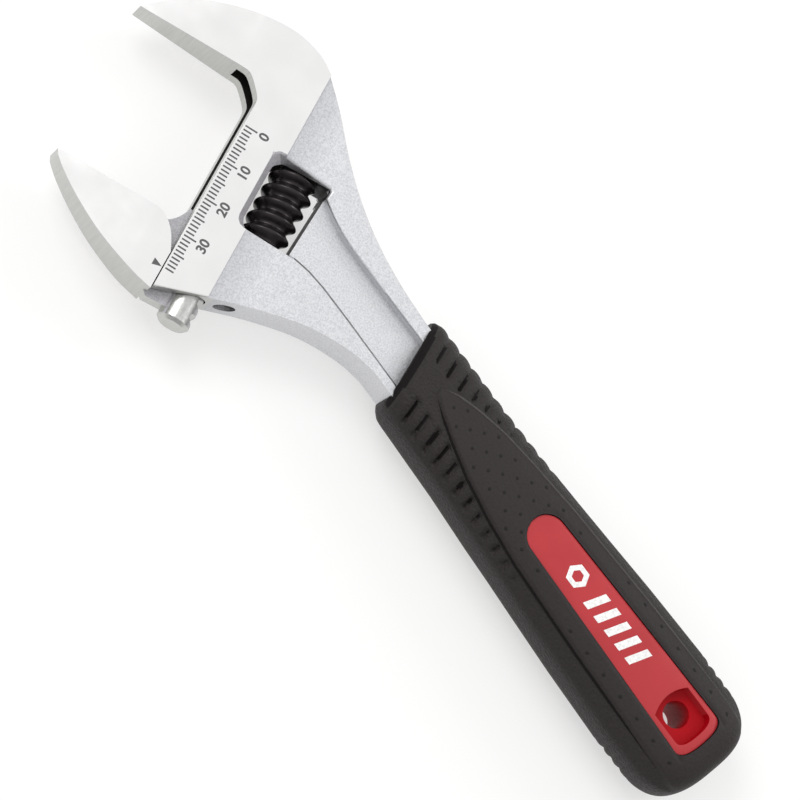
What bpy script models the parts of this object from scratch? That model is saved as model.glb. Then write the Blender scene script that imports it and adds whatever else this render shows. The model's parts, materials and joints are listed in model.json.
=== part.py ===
"""Adjustable wrench, about 215 mm long, lying flat with its jaws towards -Y and its handle along +X.

The head is modelled in slide axes: u runs along the jaw's slide in the opening direction, v runs
from the jaw tips towards the handle, and z is the thickness, with z = 0 in the middle plane.
The handle is modelled in handle axes: x along the handle, y across it. Both share one origin, at
the inner edge of the head level with the scale's zero. All lengths below are in millimetres.
"""
import math

import bmesh
import bpy
from mathutils import Vector

# ---------------------------------------------------------------- driving dimensions (mm, degrees)
HEAD_ANGLE = 22.5          # jaw direction against the handle
CLEAR = 0.3                # gap between neighbouring solids
TRAVEL = 39.0              # jaw opening, and the travel of the jaw's slide
CLOSED_GAP = 0.3           # what is left between the jaw faces when closed

HEAD_HALF = 5.8            # half thickness of the polished head
TIP_HALF = 3.6             # half thickness of the jaws at their tips
JAW_TAPER_V = -8.0         # the jaws thin down from here to their tips
NECK_HALF = 5.4            # half thickness of the forged neck
WEB_HALF = 2.8             # half thickness of the neck's web between its flanges
WEB_END = 69.0             # the pocket runs on under the front of the grip

FIXED_FACE_U = -11.8       # flat inner face of the fixed jaw
MOVING_FACE_U = FIXED_FACE_U + TRAVEL + CLOSED_GAP
JAW_TIP_V = -33.6          # both jaw tips
THROAT_V = -0.3            # inner edge of the head
BORDER_V = 11.7            # the polished head ends here
HEAD_END_U = 43.9          # lower corner of the head at the throat
END_SLOPE = -0.365         # the head's lower end rises by this for each mm along v

RACK_V = 8.3               # axis of the round rack and of its bore
RACK_R = 4.0
BORE_R = RACK_R + CLEAR
RACK_TOP_U = 17.9          # upper end of the rack, jaw fully open
RACK_END_U = 47.8          # lower end of the rack, standing out of the head
BLADE_HALF = 2.1           # half thickness of the blade between jaw and rack
SLOT_HALF = BLADE_HALF + CLEAR
SLOT_TOP_U = -17.6         # the slot's end, inside the root of the fixed jaw

WORM_V = 16.9              # axis of the worm and its pin
WORM_R = 6.0
WORM_ROOT_R = 4.4
WORM_TOP_U = 2.4
WORM_LENGTH = 17.8
PITCH = 3.7
THREAD_CLEAR = 0.25
PIN_R = 1.5
PIN_TOP_U = -3.0
PIN_HEAD_R = 2.2
PIN_HEAD_U = (29.0, 36.4)
COUNTERBORE = (2.6, 4.6)   # radius and depth of the worm's counterbore for its spring
SPRING_WIRE_R = 0.22
SPRING_TURNS = 4

WINDOW_U = (2.1, 20.5)
WINDOW_V = (10.6, 24.6)
WINDOW_CORNER = 2.4        # corner radius on the side of the rack
RIM_TOP = (2.0, 0.7)       # flare of the window's upper rim, at its two ends
RIM_LOW = 0.7              # of its lower rim
RIM_RACK = 2.5             # and of its rim beside the rack
RIM_DEPTH = 2.4            # the rim's flare reaches this far below each face

GRIP_Y = -2.6              # centre line of the handle
GRIP_BEND = 0.7            # the grip's front end leans off the centre line by this
GRIP_BEND_LENGTH = 40.0
GRIP_START = 65.0
GRIP_END = 180.5
GRIP_SLANT = 0.36          # the grip's front end leans back by this for each mm across
NECK_IN_GRIP = 71.0        # the full neck section ends here, inside the grip
NECK_Y = (-10.8, 6.5)      # its edges there
TANG_END = 150.0
TANG_HALF = (6.0, 3.0)
CORE_START = 72.0
CORE_END = 172.0
CORE_HALF = (8.2, 5.6)
INSERT_X = (110.0, 173.6)
INSERT_HALF = (5.0, 6.6)   # half width of the insert at its head end and at its far end
BASIN_X = (160.2, 171.4)
BASIN_HALF = 5.2
BASIN_BOW = 2.4            # depth of the basin's arc
BASIN_FLOOR = 6.4          # height of the basin's floor above the middle plane
HOLE_X = 165.0
HOLE_R = 3.2
BEYOND_GRIP = 14.0         # cutters through the grip reach this far from its middle plane

MM = 0.001
SLIDE_TURN = math.radians(HEAD_ANGLE - 90.0)


# ---------------------------------------------------------------- small geometry helpers
def to_head(x, y):
    """Handle axes to slide axes."""
    c, s = math.cos(SLIDE_TURN), math.sin(SLIDE_TURN)
    return (x * c + y * s, -x * s + y * c)


def spline(points, steps):
    """Catmull-Rom curve through the points, steps pieces a span, both ends included."""
    ends = [points[0]] + list(points) + [points[-1]]
    curve = []
    for a, b, c, d in zip(ends, ends[1:], ends[2:], ends[3:]):
        for i in range(steps):
            t = i / steps
            curve.append(tuple(
                0.5 * (2 * q + (r - p) * t + (2 * p - 5 * q + 4 * r - w) * t * t
                       + (3 * q - p - 3 * r + w) * t ** 3)
                for p, q, r, w in zip(a, b, c, d)))
    curve.append(tuple(points[-1]))
    return curve


def along(value, stations):
    """Value at a position, read between (position, value) stations."""
    for (p0, v0), (p1, v1) in zip(stations, stations[1:]):
        if value <= p1:
            t = max(0.0, (value - p0) / (p1 - p0))
            return v0 + (v1 - v0) * t
    return stations[-1][1]


def mesh_object(name, mesh_bm, parent=None, location=(0, 0, 0), smooth=30.0):
    """Turn a bmesh in mm into an object in metres, shaded smooth up to an angle."""
    bmesh.ops.scale(mesh_bm, vec=(MM, MM, MM), verts=mesh_bm.verts)
    bmesh.ops.recalc_face_normals(mesh_bm, faces=mesh_bm.faces)
    mesh = bpy.data.meshes.new(name)
    mesh_bm.to_mesh(mesh)
    mesh_bm.free()
    mesh.shade_smooth()
    mesh.set_sharp_from_angle(angle=math.radians(smooth))
    obj = bpy.data.objects.new(name, mesh)
    bpy.context.scene.collection.objects.link(obj)
    obj.parent = parent
    obj.location = Vector(location) * MM
    return obj


def prism_mesh(outline, low, high):
    """Closed outline drawn out along z."""
    bm = bmesh.new()
    base = [bm.verts.new((p[0], p[1], low)) for p in outline]
    face = bm.faces.new(base)
    drawn = bmesh.ops.extrude_face_region(bm, geom=[face])
    top = [v for v in drawn["geom"] if isinstance(v, bmesh.types.BMVert)]
    bmesh.ops.translate(bm, vec=(0, 0, high - low), verts=top)
    return bm


def loft_mesh(rings):
    """Skin over rings of equal length, closed with a cap at each end."""
    bm = bmesh.new()
    rows = [[bm.verts.new(p) for p in ring] for ring in rings]
    count = len(rows[0])
    for row, following in zip(rows, rows[1:]):
        for i in range(count):
            k = (i + 1) % count
            bm.faces.new((row[i], row[k], following[k], following[i]))
    bm.faces.new(rows[0])
    bm.faces.new(rows[-1])
    return bm


def turned_mesh(profile, segments):
    """Turned solid about the x axis: profile is (x, radius) from end to end."""
    rings = []
    for x, r in profile:
        ring = []
        for i in range(segments):
            a = 2 * math.pi * i / segments
            ring.append((x, r * math.cos(a), r * math.sin(a)))
        rings.append(ring)
    return loft_mesh(rings)


def combine(target, other, operation):
    """Boolean with a guide object, which stays out of the model."""
    other.hide_render = True
    other.display_type = 'WIRE'
    step = target.modifiers.new(other.name, 'BOOLEAN')
    step.object = other
    step.operation = operation
    step.solver = 'EXACT'


def cut(target, other):
    combine(target, other, 'DIFFERENCE')


def join(target, other):
    combine(target, other, 'UNION')


def box_mesh(x, y, z):
    """Box between (low, high) pairs."""
    return prism_mesh([(x[0], y[0]), (x[1], y[0]), (x[1], y[1]), (x[0], y[1])], z[0], z[1])


def finish(obj, name, color, roughness, metallic):
    """Give a node its own Principled material."""
    material = bpy.data.materials.new(name)
    material.use_nodes = True
    shader = material.node_tree.nodes["Principled BSDF"]
    shader.inputs["Base Color"].default_value = (*color, 1.0)
    shader.inputs["Roughness"].default_value = roughness
    shader.inputs["Metallic"].default_value = metallic
    obj.data.materials.append(material)


# ---------------------------------------------------------------- outlines
def fixed_jaw_outline():
    """Polished head with the fixed jaw, in slide axes."""
    crown = [to_head(*p) for p in ((2.6, 24.4), (-3.0, 25.3), (-11.0, 23.6), (-21.0, 17.6),
                                   (-29.8, 9.2), (-34.6, 0.6))]
    root = spline([(FIXED_FACE_U, -6.6), (-11.3, -4.4), (-7.7, -0.9), (-5.9, THROAT_V)], 4)
    end_rise = END_SLOPE * (BORDER_V - THROAT_V)
    outline = [(FIXED_FACE_U, JAW_TIP_V)]
    outline += root
    outline += [(HEAD_END_U, THROAT_V), (HEAD_END_U + end_rise, BORDER_V)]
    outline += [(24.0, BORDER_V), (-21.6, BORDER_V)]
    outline += spline(crown, 6)[1:]
    return outline


def neck_outline():
    """Forged neck behind the head, in slide axes."""
    upper = spline([(2.6, 24.2), (10.0, 21.0), (20.0, 15.8), (30.0, 11.6), (40.0, 8.8),
                    (50.0, 7.2), (60.0, NECK_Y[1])], 4) + [(NECK_IN_GRIP, NECK_Y[1])]
    lower = [(NECK_IN_GRIP, NECK_Y[0])] + spline(
        [(62.0, NECK_Y[0]), (55.0, -12.3), (45.0, -16.8), (35.0, -24.1), (27.2, -31.0)], 4)
    border = [(HEAD_END_U + END_SLOPE * (9.0 - THROAT_V), 9.0), (-21.0, 9.0)]
    return border + [to_head(*p) for p in upper + lower]


def web_outline():
    """Pocket between the neck's flanges, open towards the window, in slide axes."""
    upper = spline([(24.0, 5.4), (31.0, 3.6), (40.0, 3.0), (WEB_END, 3.0)], 3)
    lower = spline([(WEB_END, -8.2), (40.0, -8.0), (30.5, -9.4)], 3)
    return [to_head(*p) for p in upper + lower] + [(WINDOW_U[1], WINDOW_V[1] - 1.0),
                                                   (WINDOW_U[0] + 1.0, WINDOW_V[1] - 1.0)]


def moving_jaw_outline():
    """Moving jaw plate at rest, fully open, in slide axes."""
    right = THROAT_V - CLEAR
    inner = spline([(MOVING_FACE_U, -8.0), (28.4, -5.4), (31.2, -2.6), (35.0, right)], 4)
    outer = spline([(44.8, right), (43.3, -7.1), (39.8, -16.2), (35.7, -23.8),
                    (31.6, -29.8), (28.8, -33.0)], 5)
    return inner + outer + [(MOVING_FACE_U, JAW_TIP_V)]


def blade_outline():
    """Blade that joins the moving jaw to its rack, with its rounded root, in slide axes."""
    root = spline([(27.9, -8.0), (27.7, -4.6), (25.6, -2.3), (22.6, -0.9)], 4)
    return root + [(22.4, RACK_V), (RACK_END_U - 2.6, RACK_V), (RACK_END_U - 2.0, THROAT_V),
                   (43.8, -2.2), (40.0, -8.0)]


# ---------------------------------------------------------------- jaws
def thin_the_tips(bm):
    """Taper the jaw in thickness towards its tip."""
    cut_plane = list(bm.verts) + list(bm.edges) + list(bm.faces)
    bmesh.ops.bisect_plane(bm, geom=cut_plane, plane_co=(0, JAW_TAPER_V, 0), plane_no=(0, 1, 0))
    for vert in bm.verts:
        if vert.co.y < JAW_TAPER_V:
            t = (JAW_TAPER_V - vert.co.y) / (JAW_TAPER_V - JAW_TIP_V)
            vert.co.z *= 1.0 + (TIP_HALF / HEAD_HALF - 1.0) * min(t, 1.0)


def rack_profile():
    """Round rack from its upper end to its lower end."""
    return [(RACK_TOP_U, 1.6), (RACK_TOP_U + 2.0, RACK_R), (RACK_END_U - 0.8, RACK_R),
            (RACK_END_U, RACK_R - 0.8)]


def rack_gaps():
    """Gaps between the rack's teeth, set square to the worm's thread where they meet."""
    floor = WORM_V - WORM_R - THREAD_CLEAR
    top = RACK_V + RACK_R + 0.6
    lead = -PITCH / (2 * math.pi * (WORM_R + WORM_ROOT_R) / 2)
    bm = bmesh.new()
    first = WORM_TOP_U + 0.5 * PITCH
    index = 0
    while first + index * PITCH < RACK_END_U - 1.5:
        mid = first + index * PITCH
        index += 1
        if mid < RACK_TOP_U - PITCH / 2:
            continue
        rings = []
        for z in (-RACK_R - 0.5, RACK_R + 0.5):
            shift = mid + lead * z
            rings.append([(shift - 0.5, floor, z), (shift + 0.5, floor, z),
                          (shift + 1.75, top, z), (shift - 1.75, top, z)])
        low = [bm.verts.new(p) for p in rings[0]]
        high = [bm.verts.new(p) for p in rings[1]]
        for i in range(4):
            k = (i + 1) % 4
            bm.faces.new((low[i], low[k], high[k], high[i]))
        bm.faces.new(low)
        bm.faces.new(high)
    return bm


def make_moving_jaw(head):
    """Jaw plate, blade and toothed rack, one forging, with its origin on its jaw face."""
    origin = (MOVING_FACE_U, RACK_V, 0)
    slide = bpy.data.objects.new("jaw_slide_axis", None)
    bpy.context.scene.collection.objects.link(slide)
    slide.parent = head
    slide.location = Vector(origin) * MM
    back = Vector(origin) * -1
    bm = prism_mesh(moving_jaw_outline(), -HEAD_HALF, HEAD_HALF)
    thin_the_tips(bm)
    jaw = mesh_object("moving_jaw", bm, slide, back)
    join(jaw, mesh_object("blade", prism_mesh(blade_outline(), -BLADE_HALF, BLADE_HALF), slide, back))
    rack = mesh_object("rack", turned_mesh(rack_profile(), 32), slide, back)
    rack.location += Vector((0, RACK_V, 0)) * MM
    join(jaw, rack)
    cut(jaw, mesh_object("rack_gaps", rack_gaps(), slide, back))
    finish(jaw, "moving_jaw", (0.86, 0.86, 0.86), 0.18, 1.0)
    return jaw


# ---------------------------------------------------------------- frame
def keyhole_profile():
    """Bore for the rack, with the drill's cone at its blind end."""
    blind = RACK_TOP_U - TRAVEL - 0.4
    return [(blind, 1.9), (blind + 2.0, BORE_R), (HEAD_END_U + 5.0, BORE_R)]


def slot_outline():
    """Slot for the blade, in slide axes."""
    return [(SLOT_TOP_U, RACK_V), (SLOT_TOP_U, -4.6), (-13.0, -7.0), (-8.0, -9.0),
            (HEAD_END_U + 4.0, -9.0), (HEAD_END_U + 4.0, RACK_V)]


def window_outline():
    """Worm window with rounded corners, in slide axes."""
    u0, u1 = WINDOW_U
    v0, v1 = WINDOW_V
    r = WINDOW_CORNER
    corner = [(u0 + r * (1 - math.cos(a)), v0 + r * (1 - math.sin(a)))
              for a in (0.0, math.pi / 6, math.pi / 3, math.pi / 2)]
    low = [(u1 - r * (1 - math.cos(a)), v0 + r * (1 - math.sin(a)))
           for a in (math.pi / 2, math.pi / 3, math.pi / 6, 0.0)]
    return corner + low + [(u1, v1 - 1.6), (u1 - 0.6, v1 - 1.0), (u0 + 0.6, v1), (u0, v1 - 0.6)]


def window_mesh():
    """Cutter for the window: straight in the middle, flared into a bevelled rim at both faces."""
    centre = Vector((sum(WINDOW_U) / 2, sum(WINDOW_V) / 2))
    rings = []
    overshoot = 0.8
    outside = HEAD_HALF + overshoot
    inside = HEAD_HALF - RIM_DEPTH
    for flare, z in ((1.0, -outside), (0.0, -inside), (0.0, inside), (1.0, outside)):
        ring = []
        for u, v in window_outline():
            grow_u = -along(v, list(zip(WINDOW_V, RIM_TOP))) if u < centre.x else RIM_LOW
            grow_v = -RIM_RACK if v < centre.y else 0.0
            ring.append((u + grow_u * flare, v + grow_v * flare, z))
        rings.append(ring)
    return loft_mesh(rings)


def make_frame(head):
    """Drop forging: fixed jaw, head, neck and tang, with every bore and pocket cut."""
    bm = prism_mesh(fixed_jaw_outline(), -HEAD_HALF, HEAD_HALF)
    thin_the_tips(bm)
    frame = mesh_object("frame", bm, head)
    join(frame, mesh_object("neck", prism_mesh(neck_outline(), -NECK_HALF, NECK_HALF), head))
    tang_x = (NECK_IN_GRIP - 2.0, TANG_END)
    tang_y = (GRIP_Y - TANG_HALF[0], GRIP_Y + TANG_HALF[0])
    tang = mesh_object("tang", box_mesh(tang_x, tang_y, (-TANG_HALF[1], TANG_HALF[1])), head)
    tang.rotation_euler.z = -SLIDE_TURN
    join(frame, tang)
    for side in (-1, 1):
        z = sorted((side * WEB_HALF, side * (NECK_HALF + 2.0)))
        cut(frame, mesh_object("web_pocket", prism_mesh(web_outline(), *z), head))
    cut(frame, mesh_object("window", window_mesh(), head))
    cut(frame, mesh_object("blade_slot", prism_mesh(slot_outline(), -SLOT_HALF, SLOT_HALF), head))
    bore = mesh_object("rack_bore", turned_mesh(keyhole_profile(), 32), head, (0, RACK_V, 0))
    cut(frame, bore)
    pin_hole = [(PIN_TOP_U - 0.4, PIN_R + CLEAR), (PIN_HEAD_U[0] - CLEAR, PIN_R + CLEAR),
                (PIN_HEAD_U[0] - CLEAR, PIN_HEAD_R + CLEAR), (HEAD_END_U, PIN_HEAD_R + CLEAR)]
    cut(frame, mesh_object("pin_hole", turned_mesh(pin_hole, 24), head, (0, WORM_V, 0)))
    finish(frame, "frame", (0.80, 0.80, 0.81), 0.28, 1.0)
    return frame


# ---------------------------------------------------------------- worm, its pin and its spring
def thread_radius(phase):
    """Round-crested thread: phase 0 is a crest."""
    return WORM_ROOT_R + (WORM_R - WORM_ROOT_R) * 0.5 * (1 + math.cos(2 * math.pi * phase))


def worm_mesh():
    """Right-handed worm along x, its thread running out at both ends."""
    segments = 40
    steps = 44
    rings = []
    crest = 0.5 * PITCH
    for i in range(steps + 1):
        x = WORM_LENGTH * i / steps
        fade = min(1.0, 0.25 + min(x, WORM_LENGTH - x) / 1.1)
        ring = []
        for k in range(segments):
            a = 2 * math.pi * k / segments
            phase = (x - crest) / PITCH - (a - math.pi) / (2 * math.pi)
            r = WORM_ROOT_R - 0.4 + (thread_radius(phase) - WORM_ROOT_R + 0.4) * fade
            ring.append((x, r * math.cos(a), r * math.sin(a)))
        rings.append(ring)
    return loft_mesh(rings)


def make_worm(head):
    """Worm with its bore and the counterbore that holds the spring."""
    axis = bpy.data.objects.new("worm_axis", None)
    bpy.context.scene.collection.objects.link(axis)
    axis.parent = head
    axis.location = Vector((WORM_TOP_U, WORM_V, 0)) * MM
    worm = mesh_object("worm", worm_mesh(), axis, smooth=60.0)
    radius, depth = COUNTERBORE
    hole = PIN_R + CLEAR
    bore = [(-1.0, radius), (depth, radius), (depth, hole), (WORM_LENGTH + 1.0, hole)]
    cut(worm, mesh_object("worm_bore", turned_mesh(bore, 24), axis))
    finish(worm, "worm", (0.03, 0.026, 0.028), 0.3, 0.6)

    spring = mesh_object("worm_spring", spring_mesh(), axis)
    finish(spring, "worm_spring", (0.55, 0.55, 0.55), 0.35, 1.0)
    return worm


def spring_mesh():
    """Compression spring round the pin, in the worm's counterbore."""
    radius = (PIN_R + COUNTERBORE[0]) / 2
    length = COUNTERBORE[1] - 2 * CLEAR
    around, sides = 18, 6
    rings = []
    for i in range(SPRING_TURNS * around + 1):
        t = i / (SPRING_TURNS * around)
        a = 2 * math.pi * SPRING_TURNS * t
        x = CLEAR + SPRING_WIRE_R + (length - 2 * SPRING_WIRE_R) * t
        ring = []
        for k in range(sides):
            b = 2 * math.pi * k / sides
            r = radius + SPRING_WIRE_R * math.cos(b)
            ring.append((x + SPRING_WIRE_R * math.sin(b), r * math.cos(a), r * math.sin(a)))
        rings.append(ring)
    return loft_mesh(rings)


def make_pin(head):
    """Worm pin: a plain shank with a screw head at the head's lower end, slotted."""
    profile = [(PIN_TOP_U, PIN_R - 0.4), (PIN_TOP_U + 0.5, PIN_R), (PIN_HEAD_U[0], PIN_R),
               (PIN_HEAD_U[0], PIN_HEAD_R), (PIN_HEAD_U[1] - 0.3, PIN_HEAD_R),
               (PIN_HEAD_U[1], PIN_HEAD_R - 0.3)]
    pin = mesh_object("worm_pin", turned_mesh(profile, 24), head, (0, WORM_V, 0))
    slot = box_mesh((PIN_HEAD_U[1] - 1.1, PIN_HEAD_U[1] + 1.0), (-3.0, 3.0), (-0.45, 0.45))
    cut(pin, mesh_object("pin_slot", slot, head, (0, WORM_V, 0)))
    finish(pin, "worm_pin", (0.25, 0.25, 0.25), 0.35, 1.0)
    return pin


# ---------------------------------------------------------------- grip
def grip_ring(x, half_width, half_thick, slant, segments=44):
    """One rounded section of the grip."""
    power = 2.0 / 2.9
    middle = GRIP_Y + GRIP_BEND * max(0.0, 1.0 - (x - GRIP_START) / GRIP_BEND_LENGTH)
    ring = []
    for i in range(segments):
        a = 2 * math.pi * i / segments
        c, s = math.cos(a), math.sin(a)
        y = half_width * math.copysign(abs(c) ** power, c)
        z = half_thick * math.copysign(abs(s) ** power, s)
        ring.append((x - slant * y, middle + y, z))
    return ring


def grip_mesh(inset=0.0):
    """Outer shape of the grip, swelling towards its far end."""
    widths = [(66.0, 12.1), (90.0, 12.4), (115.0, 13.5), (140.0, 14.9), (160.0, 15.6), (172.0, 15.4)]
    depths = [(66.0, 9.2), (80.0, 9.6), (100.0, 9.8), (140.0, 10.0), (172.0, 9.8)]
    front = [(0.0, 0.92), (0.6, 0.96), (2.0, 0.99), (5.0, 1.0)]
    rings = []
    for step, share in front:
        x = GRIP_START + step
        rings.append(grip_ring(x + inset, along(x, widths) * share - inset,
                               along(x, depths) * share - inset, GRIP_SLANT))
    stations = [76, 82, 88, 94, 100, 106, 112, 118, 124, 130, 136, 142, 148, 154, 160, 165, 169]
    for x in stations:
        slant = GRIP_SLANT * max(0.0, 1.0 - (x - GRIP_START) / 60.0)
        rings.append(grip_ring(x, along(x, widths) - inset, along(x, depths) - inset, slant))
    turn_start = 169.0
    reach = GRIP_END - turn_start
    for i in range(1, 8):
        a = math.pi / 2 * i / 7.6
        x = turn_start + (reach - inset) * math.sin(a) / math.sin(math.pi / 2 * 7 / 7.6)
        rings.append(grip_ring(x, (along(x, widths) - inset) * math.cos(a) ** 0.55,
                               (along(x, depths) - inset) * math.cos(a) ** 0.42, 0.0))
    return loft_mesh(rings)


def insert_outline(grow=0.0):
    """Plan of the hard insert that shows in the grip: round head end, crowned far end."""
    x0, x1 = INSERT_X
    near, far = INSERT_HALF
    near += grow
    far += grow
    outline = []
    for i in range(13):
        a = math.pi / 2 + math.pi * i / 12
        outline.append((x0 + INSERT_HALF[0] + near * math.cos(a), GRIP_Y + near * math.sin(a)))
    outline.append((x1 - 3.0, GRIP_Y - far))
    for i in range(1, 8):
        a = -math.pi / 2 + math.pi * i / 8
        outline.append((x1 + grow - 1.6 + 1.6 * math.cos(a),
                        GRIP_Y + (far - 0.7) * math.sin(a)))
    outline.append((x1 - 3.0, GRIP_Y + far))
    return outline


def basin_outline():
    """Basin round the hanging hole: its side towards the head is an arc."""
    x0, x1 = BASIN_X
    bow = []
    for degrees in (70, 45, 20, -20, -45, -70):
        a = math.radians(degrees)
        bow.append((x0 + BASIN_BOW * (1 - math.cos(a)), GRIP_Y + BASIN_HALF * math.sin(a)))
    return [(x1, GRIP_Y + BASIN_HALF)] + bow + [(x1, GRIP_Y - BASIN_HALF)]


def make_grip(root):
    """Hard core round the tang, and the soft sleeve round the core."""
    y_core = (GRIP_Y - CORE_HALF[0], GRIP_Y + CORE_HALF[0])
    z_core = (-CORE_HALF[1], CORE_HALF[1])
    core = mesh_object("grip_core", box_mesh((CORE_START, CORE_END), y_core, z_core), root)
    insert = prism_mesh(insert_outline(), 1.0 - BEYOND_GRIP, BEYOND_GRIP - 1.0)
    join(core, mesh_object("insert", insert, root))
    combine(core, mesh_object("insert_crown", grip_mesh(0.35), root), 'INTERSECT')
    tang_y = (GRIP_Y - TANG_HALF[0] - CLEAR, GRIP_Y + TANG_HALF[0] + CLEAR)
    tang_z = (-TANG_HALF[1] - CLEAR, TANG_HALF[1] + CLEAR)
    cut(core, mesh_object("tang_pocket", box_mesh((60.0, TANG_END + CLEAR), tang_y, tang_z), root))
    for side in (-1, 1):
        z = sorted((side * BASIN_FLOOR, side * BEYOND_GRIP))
        cut(core, mesh_object("basin", prism_mesh(basin_outline(), *z), root))
    hole_line = [(-BEYOND_GRIP, HOLE_R), (BEYOND_GRIP, HOLE_R)]
    hole = mesh_object("hanging_hole", turned_mesh(hole_line, 32), root)
    hole.location = Vector((HOLE_X, GRIP_Y, 0)) * MM
    hole.rotation_euler.y = math.pi / 2
    cut(core, hole)
    finish(core, "grip_core", (0.50, 0.052, 0.065), 0.42, 0.0)

    sleeve = mesh_object("grip_sleeve", grip_mesh(), root, smooth=40.0)
    room_x = (CORE_START - CLEAR, CORE_END + CLEAR)
    room_y = (y_core[0] - CLEAR, y_core[1] + CLEAR)
    room_z = (z_core[0] - CLEAR, z_core[1] + CLEAR)
    cut(sleeve, mesh_object("core_room", box_mesh(room_x, room_y, room_z), root))
    insert_room = prism_mesh(insert_outline(CLEAR), -BEYOND_GRIP, BEYOND_GRIP)
    cut(sleeve, mesh_object("insert_room", insert_room, root))
    neck_y = (NECK_Y[0] - CLEAR, NECK_Y[1] + CLEAR)
    neck_z = (-NECK_HALF - CLEAR, NECK_HALF + CLEAR)
    mouth = box_mesh((50.0, CORE_START + 1.0), neck_y, neck_z)
    cut(sleeve, mesh_object("neck_mouth", mouth, root))
    finish(sleeve, "grip_sleeve", (0.045, 0.04, 0.038), 0.62, 0.0)
    return core, sleeve


# ---------------------------------------------------------------- assembly
def stand_on_origin(root, nodes):
    """Move the whole wrench so that the middle of its base is the origin."""
    bpy.context.view_layer.update()
    graph = bpy.context.evaluated_depsgraph_get()
    points = []
    for node in nodes:
        shown = node.evaluated_get(graph)
        points += [shown.matrix_world @ vert.co for vert in shown.data.vertices]
    low = [min(p[i] for p in points) for i in range(3)]
    high = [max(p[i] for p in points) for i in range(3)]
    root.location -= Vector(((low[0] + high[0]) / 2, (low[1] + high[1]) / 2, low[2]))


def main():
    for obj in list(bpy.data.objects):
        bpy.data.objects.remove(obj, do_unlink=True)
    root = bpy.data.objects.new("wrench", None)
    head = bpy.data.objects.new("slide_axes", None)
    for empty in (root, head):
        bpy.context.scene.collection.objects.link(empty)
    head.parent = root
    head.rotation_euler.z = SLIDE_TURN
    frame = make_frame(head)
    jaw = make_moving_jaw(head)
    make_worm(head)
    make_pin(head)
    core, sleeve = make_grip(root)
    stand_on_origin(root, (frame, jaw, core, sleeve))


main()
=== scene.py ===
"""Looks of the adjustable wrench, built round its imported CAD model.

Slide axes: u along the jaw's slide in the opening direction, v from the jaw tips towards the
handle, z through the thickness. Handle axes: x along the handle, y across it. Both start at the
head's inner edge, level with the scale's zero, in the wrench's middle plane. Shapes are worked
out in millimetres and placed with one matrix for each set of axes.
"""
import json
import math

import bmesh
import bpy
from mathutils import Matrix, Vector


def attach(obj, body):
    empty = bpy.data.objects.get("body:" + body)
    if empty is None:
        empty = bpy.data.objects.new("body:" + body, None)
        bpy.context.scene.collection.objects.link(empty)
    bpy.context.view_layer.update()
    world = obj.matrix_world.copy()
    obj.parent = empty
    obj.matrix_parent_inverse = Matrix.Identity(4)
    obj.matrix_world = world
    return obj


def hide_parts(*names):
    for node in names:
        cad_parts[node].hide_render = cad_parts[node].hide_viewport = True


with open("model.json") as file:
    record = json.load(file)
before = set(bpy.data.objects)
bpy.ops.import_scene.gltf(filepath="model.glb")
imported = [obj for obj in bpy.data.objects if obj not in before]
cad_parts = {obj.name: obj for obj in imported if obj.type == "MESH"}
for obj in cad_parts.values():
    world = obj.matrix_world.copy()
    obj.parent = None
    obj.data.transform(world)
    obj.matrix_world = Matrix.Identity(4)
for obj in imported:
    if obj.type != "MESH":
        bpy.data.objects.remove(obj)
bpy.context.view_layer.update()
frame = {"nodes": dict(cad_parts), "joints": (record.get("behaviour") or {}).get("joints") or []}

MM = 0.001

# ---------------------------------------------------------------- places, from the record
JOINTS = {j["name"]: j for j in frame["joints"]}
CLOSING = Vector(JOINTS["jaw_slide"]["axis"]).normalized()
TRAVEL = JOINTS["jaw_slide"]["range_m"][1] / MM
WORM_POINT = Vector(JOINTS["worm_spin"]["pos_m"])
WORM_TOP_U = 2.4           # upper end of the worm
WORM_V = 16.9              # axis of the worm
U_AXIS = -CLOSING
V_AXIS = Vector((0, 0, 1)).cross(U_AXIS)
ORIGIN = WORM_POINT - U_AXIS * WORM_TOP_U * MM - V_AXIS * WORM_V * MM

HEAD_HALF = 5.8            # half thickness of the polished head
NECK_HALF = 5.4            # half thickness of the forged neck
THROAT_V = -0.3            # inner edge of the head
BORDER_V = 11.7            # the polished head ends here
FIXED_FACE_U = -11.8       # flat inner face of the fixed jaw
GRIP_Y = -2.6              # centre line of the handle


def axes(u_axis, v_axis):
    """Matrix from millimetres along these axes to the wrench's own frame, in metres."""
    turn = Matrix((u_axis, v_axis, Vector((0, 0, 1)))).transposed().to_4x4()
    return Matrix.Translation(ORIGIN) @ turn @ Matrix.Scale(MM, 4)


SLIDE = axes(U_AXIS, V_AXIS)
SLIDE_TURN = SLIDE.to_3x3().normalized()
HANDLE = axes(Vector((1, 0, 0)), Vector((0, 1, 0)))


# ---------------------------------------------------------------- mesh helpers
def new_object(name, bm, place=None):
    """Object from a bmesh, its vertices moved by the matrix."""
    if place is not None:
        bmesh.ops.transform(bm, matrix=place, verts=bm.verts)
    bmesh.ops.recalc_face_normals(bm, faces=bm.faces)
    mesh = bpy.data.meshes.new(name)
    bm.to_mesh(mesh)
    bm.free()
    obj = bpy.data.objects.new(name, mesh)
    bpy.context.scene.collection.objects.link(obj)
    return obj


def shade(obj, angle=35.0, weighted=False):
    """Smooth shading, broken at edges sharper than the angle; weighted keeps wide faces flat."""
    obj.data.shade_smooth()
    obj.data.set_sharp_from_angle(angle=math.radians(angle))
    if weighted:
        even = obj.modifiers.new("even", 'WEIGHTED_NORMAL')
        even.mode = 'FACE_AREA'
        even.weight = 100
        even.keep_sharp = True
        settle(obj)


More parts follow.
